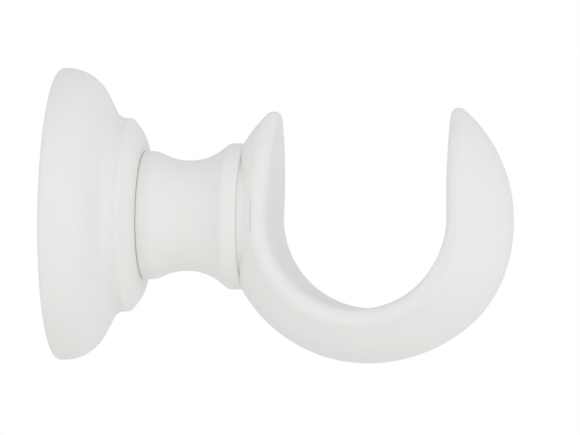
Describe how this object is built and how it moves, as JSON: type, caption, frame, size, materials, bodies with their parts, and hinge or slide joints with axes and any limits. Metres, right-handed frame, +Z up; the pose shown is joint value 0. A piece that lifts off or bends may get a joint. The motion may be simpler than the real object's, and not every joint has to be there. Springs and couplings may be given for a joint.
{
  "type": "curtain pole cup bracket",
  "caption": "Turned wood cup bracket that holds a thick curtain pole off the wall; its arm unscrews from the round base.",
  "frame": {"origin": "centre of the base's back face, on the wall", "axes": "+X out from the wall, +Y along the pole, +Z up"},
  "size_m": [0.1385, 0.0884, 0.0884],
  "materials": {
    "painted_wood": "satin white paint",
    "fibre": "dark vulcanised fibre",
    "insert_brass": "machined",
    "zinc_steel": "zinc plated",
    "beech": "bare"
  },
  "bodies": {
    "base": {"rosette": "painted_wood", "threaded_insert": "insert_brass"},
    "washer": {"friction_washer": "fibre"},
    "arm": {"hanger_bolt": "zinc_steel", "neck": "painted_wood", "dowel_upper": "beech", "dowel_lower": "beech", "cup": "painted_wood"},
    "pole_lock": {"pole_screw": "zinc_steel"}
  },
  "joints": [
    {"name": "arm_draw", "type": "slide", "parent": "base", "child": "washer", "axis": [1, 0, 0], "range_m": [0, 0.0125]},
    {"name": "arm_turn", "type": "hinge", "parent": "washer", "child": "arm", "pos_m": [0, 0, 0], "axis": [1, 0, 0], "range_deg": [0, 3600]},
    {"name": "pole_screw_travel", "type": "slide", "parent": "arm", "child": "pole_lock", "axis": [0, 0, 1], "range_m": [0, 0.005]}
  ],
  "couplings": [
    {"joint": "arm_draw", "follows": "arm_turn", "m_per_rad": 0.0001989}
  ]
}
